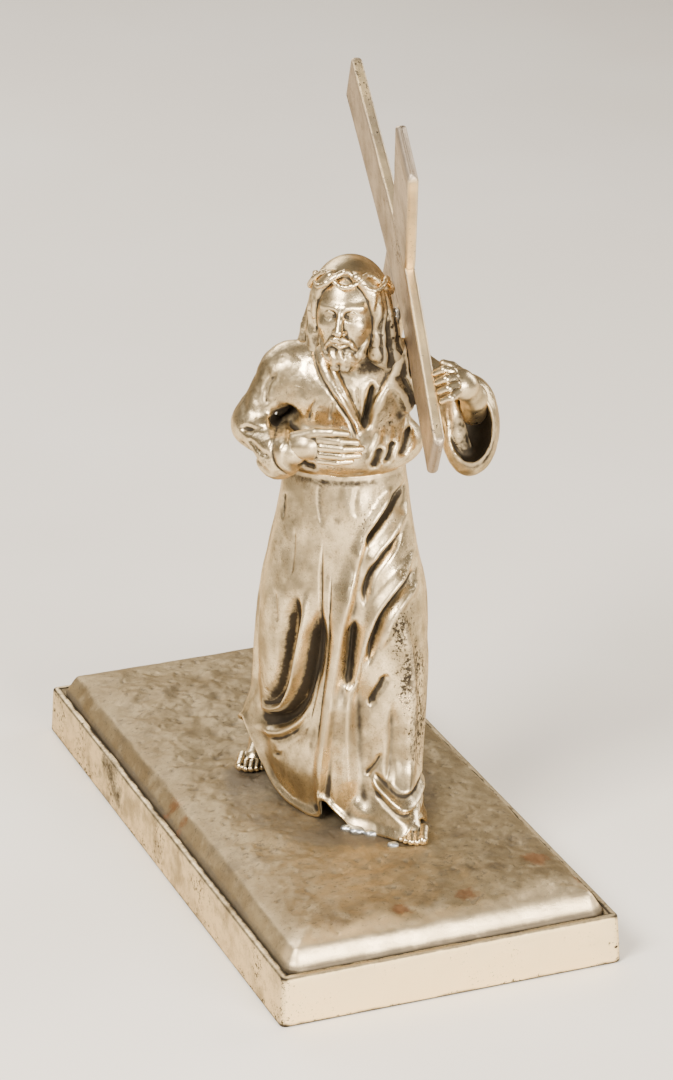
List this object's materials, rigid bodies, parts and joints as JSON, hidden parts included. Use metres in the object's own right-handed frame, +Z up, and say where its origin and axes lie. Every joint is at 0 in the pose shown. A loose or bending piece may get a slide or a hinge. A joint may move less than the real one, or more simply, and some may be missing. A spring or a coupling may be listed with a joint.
{
  "type": "figure carrying a cross statuette",
  "caption": "Cast silver-plated statuette of a robed figure in a crown of thorns carrying a flat cross on the left shoulder, on a stepped rectangular plinth with rocky ground.",
  "frame": {"origin": "middle of the plinth's underside", "axes": "+Z up, the plinth's long side along Y, its short side along X; the figure walks towards -Y"},
  "size_m": [0.07, 0.14, 0.1581],
  "materials": {
    "plinth_silver": "worn silver plate with a warm tarnish, dark in the corners and along the ledge",
    "ground_silver": "grainy tarnished silver plate over rocky casting, pitted, with small rust-brown stains",
    "figure_silver": "satin to polished silver plate, black patina in the folds, speckled wear",
    "cross_silver": "satin greyish silver plate with brighter golden edges",
    "solder": "dull blue-grey soft solder",
    "steel": "plain steel fixings under the plinth"
  },
  "bodies": {
    "root": {"plinth_frame": "plinth_silver", "ground_plate": "ground_silver", "plate_screw_1": "steel", "plate_screw_2": "steel", "plate_screw_3": "steel", "plate_screw_4": "steel", "figure_stud": "steel", "stud_washer": "steel", "stud_nut": "steel", "robe_skirt": "figure_silver", "robe_bodice": "figure_silver", "right_sleeve": "figure_silver", "left_sleeve": "figure_silver", "right_hand": "figure_silver", "left_hand": "figure_silver", "right_foot": "figure_silver", "left_foot": "figure_silver", "head": "figure_silver", "crown_of_thorns": "figure_silver", "cross_upright": "cross_silver", "cross_beam": "cross_silver", "shoulder_solder": "solder", "hem_solder": "solder", "foot_solder": "solder"}
  },
  "joints": []
}
